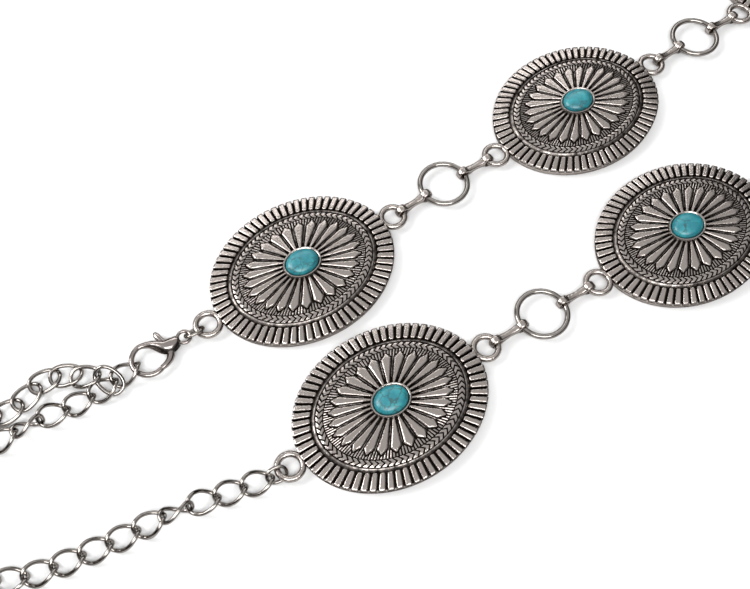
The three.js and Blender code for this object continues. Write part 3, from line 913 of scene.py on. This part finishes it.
class BELT_OT_rings(bpy.types.Operator):
    """Make the wire rings between the plates, each with the seam where its ends meet"""

    bl_idname = "belt.rings"
    bl_label = "Rings"

    def execute(self, context):
        size = sizes()
        material = bpy.data.materials.get(NICKEL_PLATE) or nickel_plate()
        names = [f"ring_{number}" for number in range(1, 7)]
        places = [(centre_of(name), direction(seam), UP) for name, seam in zip(names, RING_SEAMS)]
        rings = run_tree(wire_ring_tree(), places_mesh(places), {
            "Radius": size.ring_radius,
            "Wire": size.ring_wire,
            "Seam": size.ring_seam,
            "Steps": 96,
            "Sides": 18,
            "Material": material,
        })
        add_piece("wire_rings", settle_mesh(rings), material, names)
        return {"FINISHED"}


def connector_mesh():
    """Two upright eyes on a waisted bar, as one cast link that stands on edge."""
    reach = 4.85
    hole = 1.42
    rim = 2.1
    shells = []
    for side in (-1, 1):
        path = [
            Vector((math.cos(TURN * i / 40), 0, math.sin(TURN * i / 40))) * (hole + rim) / 2
            for i in range(40)
        ]
        sections = []
        for here in path:
            outward = max(0.0, side * here.x) / rim
            half = 1.25 - 0.28 * outward
            thick = (rim - hole) / 2
            sections.append([
                (thick * u, half * v) for u, v in (
                    (0.7, -0.85), (1, -0.6), (1, 0.6), (0.7, 0.85), (0.2, 1), (-0.45, 0.96), (-0.85, 0.75),
                    (-1, 0.35), (-1, -0.35), (-0.85, -0.75), (-0.45, -0.96), (0.2, -1),
                )
            ])
        points, faces = tube(path, sections)
        moved = [((x + side * reach) * MM, y * MM, z * MM, CAST_LINK_POLISH) for x, y, z in points]
        shells.append((moved, faces))
    waist = []
    for x, half_width, half_height in (
        (-3.1, 1.22, 1.35), (-2.4, 1.2, 1.2), (-1.4, 1.08, 1.02), (0, 1.0, 0.92), (1.4, 1.08, 1.02),
        (2.4, 1.2, 1.2), (3.1, 1.22, 1.35),
    ):
        waist.append([
            (x * MM, half_width * math.copysign(abs(math.cos(a)) ** 0.7, math.cos(a)) * MM,
             half_height * math.copysign(abs(math.sin(a)) ** 0.7, math.sin(a)) * MM, CAST_LINK_POLISH)
            for a in (TURN * (i + 0.5) / 16 for i in range(16))
        ])
    shells.append(loft(waist))
    return settle_mesh(make_mesh("connector", shells), sharp_angle=50)


class BELT_OT_connectors(bpy.types.Operator):
    """Make the double-eye links from the plates' loops to the rings"""

    bl_idname = "belt.connectors"
    bl_label = "Connectors"

    def execute(self, context):
        material = bpy.data.materials.get(SILVER_PLATE) or antique_silver_plate()
        pattern = bpy.data.objects.new("connector pattern", connector_mesh())
        bpy.context.scene.collection.objects.link(pattern)
        names = [f"connector_{number}" for number in range(1, 13)]
        places = []
        for i, name in enumerate(names):
            middle = centre_of(name)
            along = (centre_of(f"ring_{i // 2 + 1}") - middle).normalized()
            places.append((middle, along, UP))
        connectors = run_tree(repeated_piece_tree(), places_mesh(places), {
            "Piece": pattern,
            "Material": material,
        })
        bpy.data.objects.remove(pattern)
        settle_mesh(connectors, sharp_angle=50)
        add_piece("eye_connectors", connectors, material, names)
        return {"FINISHED"}


def catmull_rom(a, b, c, d, t):
    """A point between b and c on the centripetal curve through four points."""
    da, db, dc = ((q - p).length ** 0.5 for p, q in ((a, b), (b, c), (c, d)))
    start = ((b - a) / da - (c - a) / (da + db) + (c - b) / db) * db
    end = ((c - b) / db - (d - b) / (db + dc) + (d - c) / dc) * db
    return (
        b + start * t + (3 * (c - b) - 2 * start - end) * t * t + (2 * (b - c) + start + end) * t * t * t
    )


def spaced_route(points, spacing, samples=24):
    """Points a link's pitch apart on the smooth route through the given points."""
    points = [Vector(point) for point in points]
    line = [2 * points[0] - points[1], *points, 2 * points[-1] - points[-2]]
    fine = [
        catmull_rom(*line[i:i + 4], step / samples) for i in range(len(points) - 1) for step in range(samples)
    ]
    fine.append(points[-1])
    walked = [0.0]
    for before, here in zip(fine, fine[1:]):
        walked.append(walked[-1] + (here - before).length)
    count = round(walked[-1] / spacing)
    spaced = []
    at = 0
    for i in range(count + 1):
        wanted = walked[-1] * i / count
        while at < len(walked) - 2 and walked[at + 1] < wanted:
            at += 1
        part = (wanted - walked[at]) / (walked[at + 1] - walked[at])
        spaced.append(fine[at].lerp(fine[at + 1], part))
    return spaced


class BELT_OT_chain(bpy.types.Operator):
    """Make the curb chain with its free tail, and the two small jump links"""

    bl_idname = "belt.chain"
    bl_label = "Chain"

    def execute(self, context):
        size = sizes()
        material = bpy.data.materials.get(NICKEL_PLATE) or nickel_plate()
        tree = curb_link_tree()

        def links(places, link_length, width, wire, twist):
            return run_tree(tree, places_mesh(places), {
                "Length": link_length, "Width": width, "Wire": wire, "Roundness": LINK_ROUNDNESS,
                "Twist": twist, "Steps": 48, "Sides": 14, "Material": material,
            })

        crossings = spaced_route(CHAIN_ROUTE, LINK_PITCH)
        main = []
        for i, (here, after) in enumerate(zip(crossings, crossings[1:])):
            along = (here - after).normalized()
            main.append((in_frame(*(here + after) / 2), along, rolled_up(along, TURNED_LINKS.get(i, 0))))
        parts = [links(main, size.link_length, size.link_width, size.link_wire, size.link_twist)]
        for x, y, z, heading, rise, roll, twist in TAIL_LINKS:
            along = direction(heading, rise)
            place = [(in_frame(x, y, z), along, rolled_up(along, roll))]
            parts.append(links(place, size.link_length, size.link_width, size.link_wire, math.radians(twist)))
        chain = settle_mesh(merge_meshes("chain", parts), sharp_angle=70)
        add_piece("curb_chain", chain, material, ["chain"])

        for name, (x, y, heading, roll) in JUMP_LINKS.items():
            along = direction(heading)
            place = [(in_frame(x, y, JUMP_LINK_LEVEL), along, rolled_up(along, roll))]
            link = links(place, JUMP_LINK_LENGTH * MM, JUMP_LINK_WIDTH * MM, JUMP_LINK_WIRE * MM, 0.0)
            settle_mesh(link, sharp_angle=70)
            add_piece(f"jump_{name}", link, material, [name])
        return {"FINISHED"}


def on_hook(degrees):
    """A point of the hook's centreline, as an angle round its centre."""
    angle = math.radians(degrees)
    return HOOK_CENTRE[0] + HOOK_RADIUS * math.cos(angle), HOOK_CENTRE[1] + HOOK_RADIUS * math.sin(angle)


# Upper half of the section of the clasp's thick back: a flat top, then a slope down to the hollow's side
BACK_SECTION = [
    (-1, 0), (-0.93, 0.5), (-0.72, 0.84), (-0.4, 0.97), (0, 1), (0.3, 0.94), (0.5, 0.76), (0.7, 0.48),
    (0.88, 0.2), (1, 0),
]


def bar_section(thickness):
    """A bar's section of 18 points in parts of its half sizes, round where it is thin."""
    back = BACK_SECTION + [(u, -w) for u, w in BACK_SECTION[-2:0:-1]]
    lean = min(1, max(0, (thickness - 0.75) / 0.75))
    section = []
    for k, (u, w) in enumerate(back):
        turn = math.pi - TURN * k / len(back)
        section.append((u * lean + math.cos(turn) * (1 - lean), w * lean + math.sin(turn) * (1 - lean)))
    return section


def bar_shell(stations, level, steps=5):
    """A rounded bar that lies level: stations of (x, y, half width, half height) in millimetres, smoothed."""
    stations = [Vector(station) for station in stations]
    line = [2 * stations[0] - stations[1], *stations, 2 * stations[-1] - stations[-2]]
    fine = [
        catmull_rom(*line[i:i + 4], step / steps) for i in range(len(stations) - 1) for step in range(steps)
    ]
    fine.append(stations[-1])
    loops = []
    for i, here in enumerate(fine):
        along = (fine[min(i + 1, len(fine) - 1)] - fine[max(i - 1, 0)]).xy.normalized()
        loops.append([
            (
                (here.x - along.y * here.z * u) * MM, (here.y + along.x * here.z * u) * MM,
                (level + here.w * w) * MM,
            )
            for u, w in bar_section(here.w)
        ])
    return loft(loops)


def clasp_place():
    return Matrix.Translation(in_frame(CLASP_PLACE[0], CLASP_PLACE[1], 0))


class BELT_OT_clasp(bpy.types.Operator):
    """Make the lobster clasp: its body with hook and eye, and its sprung lever"""

    bl_idname = "belt.clasp"
    bl_label = "Clasp"

    def execute(self, context):
        material = clasp_plate()
        level = CLASP_PLACE[2]
        back = [
            (-1.6, 0, 1.1, 1.1), (-2.3, 0, 1.7, 1.5), (-3.5, -0.3, 2.2, 1.75), (-5.0, -0.4, 2.5, 1.8),
            (-6.5, 0.2, 2.2, 1.75), (-8.2, 1.9, 1.6, 1.5), (-10.0, 3.4, 1.1, 1.15),
        ]
        steps = 12
        hook = [
            (*on_hook(HOOK_START + (HOOK_END - HOOK_START) * i / steps), *HOOK_BAR) for i in range(steps + 1)
        ]
        tip = (*on_hook(HOOK_TIP), *HOOK_TIP_BAR)
        eye_path = flat_circle(CLASP_EYE_RADIUS, 36)
        eye_points, eye_faces = tube(eye_path, [round_section(CLASP_EYE_WIRE, 12)])
        eye = [(x * MM, y * MM, (z + level) * MM) for x, y, z in eye_points], eye_faces
        shells = [bar_shell([*back, *hook, tip], level), eye]
        clasp = make_mesh("clasp body", shells)
        clasp.transform(clasp_place())
        settle_mesh(clasp, sharp_angle=50)
        add_piece("clasp_body_cast", clasp, material, ["clasp_body"])

        arm = [
            (-6.75, 6.0, 0.5, 0.4), (-6.8, 5.3, 0.85, 0.6), (-6.6, 4.3, 0.95, 0.7), (-6.1, 2.4, 0.9, 0.6),
            (-5.4, -0.4, 1.0, 0.6), (-5.7, -2.4, 1.15, 0.85), (-6.5, -3.8, 1.1, 1.0), (-7.6, -4.6, 1.0, 1.0),
            (-8.8, -5.05, 0.9, 0.9), (-9.6, -5.2, 0.85, 0.85), (-10.05, -5.3, 0.8, 0.8),
        ]
        lever = make_mesh("clasp lever", [bar_shell(arm, level)])
        lever.transform(clasp_place())
        settle_mesh(lever, sharp_angle=45)
        add_piece("clasp_lever_cast", lever, material, ["clasp_lever"], body="lever")
        return {"FINISHED"}


# The photo's view, measured on its four plates: focal length in millimetres on a 36 mm sensor
CAMERA_LENS = 48.9
CAMERA_PLACE = (-62.7, -136.4, 276.9)
CAMERA_HEADING = 56.8
CAMERA_PITCH = -62.34
# Metres
PAPER_SIZE = 12


def add_area_light(name, place, size, power):
    """Hangs a soft light that is aimed at the middle of the belt."""
    light = bpy.data.lights.new(name, "AREA")
    light.shape = "RECTANGLE"
    light.size, light.size_y = size
    light.energy = power
    lamp = bpy.data.objects.new(name, light)
    lamp.location = place
    lamp.rotation_euler = (-Vector(place)).to_track_quat("-Z", "Y").to_euler()
    bpy.context.scene.collection.objects.link(lamp)


class BELT_OT_stage(bpy.types.Operator):
    """Lay the paper, hang the lights and set the camera at the photo's view"""

    bl_idname = "belt.stage"
    bl_label = "Stage"

    def execute(self, context):
        half = PAPER_SIZE / 2
        corners = [(-half, -half, 0), (half, -half, 0), (half, half, 0), (-half, half, 0)]
        paper = make_mesh("paper", [(corners, [(0, 1, 2, 3)])])
        paper.materials.append(matt_paper())
        floor = bpy.data.objects.new("paper", paper)
        context.scene.collection.objects.link(floor)

        add_area_light("key", (-0.68, 0.5, 0.62), size=(0.5, 0.5), power=8)
        add_area_light("far bank", (0.25, 0.75, 0.6), size=(1.2, 0.2), power=3)
        add_area_light("near bank", (-0.35, -0.6, 0.9), size=(0.9, 0.5), power=11)

        context.scene.world = studio_world()
        context.scene.view_settings.view_transform = "Standard"

        camera = bpy.data.objects.new("camera", bpy.data.cameras.new("camera"))
        camera.data.lens = CAMERA_LENS
        camera.data.clip_start = 0.01
        camera.location = in_frame(*CAMERA_PLACE)
        camera.rotation_euler = direction(CAMERA_HEADING, CAMERA_PITCH).to_track_quat("-Z", "Y").to_euler()
        context.scene.collection.objects.link(camera)
        context.scene.camera = camera
        return {"FINISHED"}


class BELT_PT_panel(bpy.types.Panel):
    """The belt's pieces, sizes and finishes in the sidebar"""

    bl_idname = "BELT_PT_panel"
    bl_label = "Concho Belt"
    bl_space_type = "VIEW_3D"
    bl_region_type = "UI"
    bl_category = "Belt"

    def draw(self, context):
        layout = self.layout
        for operator in PIECES:
            layout.operator(operator.bl_idname)
        for group in (context.scene.belt_sizes, context.scene.belt_finishes):
            box = layout.box()
            for name in group.__annotations__:
                box.prop(group, name)


PIECES = [
    BELT_OT_stage, BELT_OT_conchos, BELT_OT_cabochons, BELT_OT_rings, BELT_OT_connectors, BELT_OT_chain,
    BELT_OT_clasp,
]
CLASSES = [BeltSizes, BeltFinishes, *PIECES, BELT_PT_panel]


def register():
    for item in CLASSES:
        bpy.utils.register_class(item)
    bpy.types.Scene.belt_sizes = PointerProperty(type=BeltSizes)
    bpy.types.Scene.belt_finishes = PointerProperty(type=BeltFinishes)


def unregister():
    del bpy.types.Scene.belt_finishes
    del bpy.types.Scene.belt_sizes
    for item in reversed(CLASSES):
        bpy.utils.unregister_class(item)


def main():
    register()
    bpy.ops.belt.stage()
    bpy.ops.belt.conchos()
    bpy.ops.belt.cabochons()
    bpy.ops.belt.rings()
    bpy.ops.belt.connectors()
    bpy.ops.belt.chain()
    bpy.ops.belt.clasp()
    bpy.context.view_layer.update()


if __name__ == "__main__":
    main()
